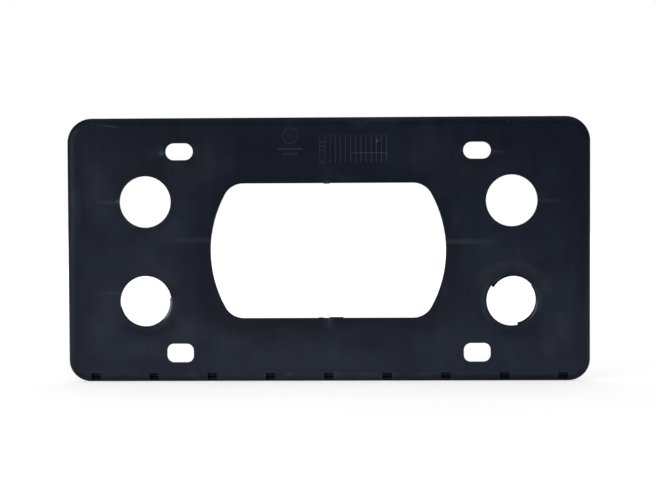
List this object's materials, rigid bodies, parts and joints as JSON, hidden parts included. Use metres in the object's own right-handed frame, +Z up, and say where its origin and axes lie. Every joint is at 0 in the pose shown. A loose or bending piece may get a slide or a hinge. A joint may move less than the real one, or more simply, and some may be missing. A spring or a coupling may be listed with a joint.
{
  "type": "number plate holder",
  "caption": "One-piece moulded backing tray for a vehicle number plate, with a large centre window, round clearance holes, fixing slots and plate hooks along its lower rim.",
  "frame": {"origin": "centre of the four fixing slots, on the flat back face that lies on the vehicle", "axes": "+X along the plate, to the right seen from the front; +Y out of the back face towards the vehicle; +Z up, with the plate hooks at the bottom"},
  "size_m": [0.3134, 0.0064, 0.1584],
  "materials": {
    "black_plastic": "satin"
  },
  "bodies": {
    "root": {"plate_holder": "black_plastic"}
  },
  "joints": []
}
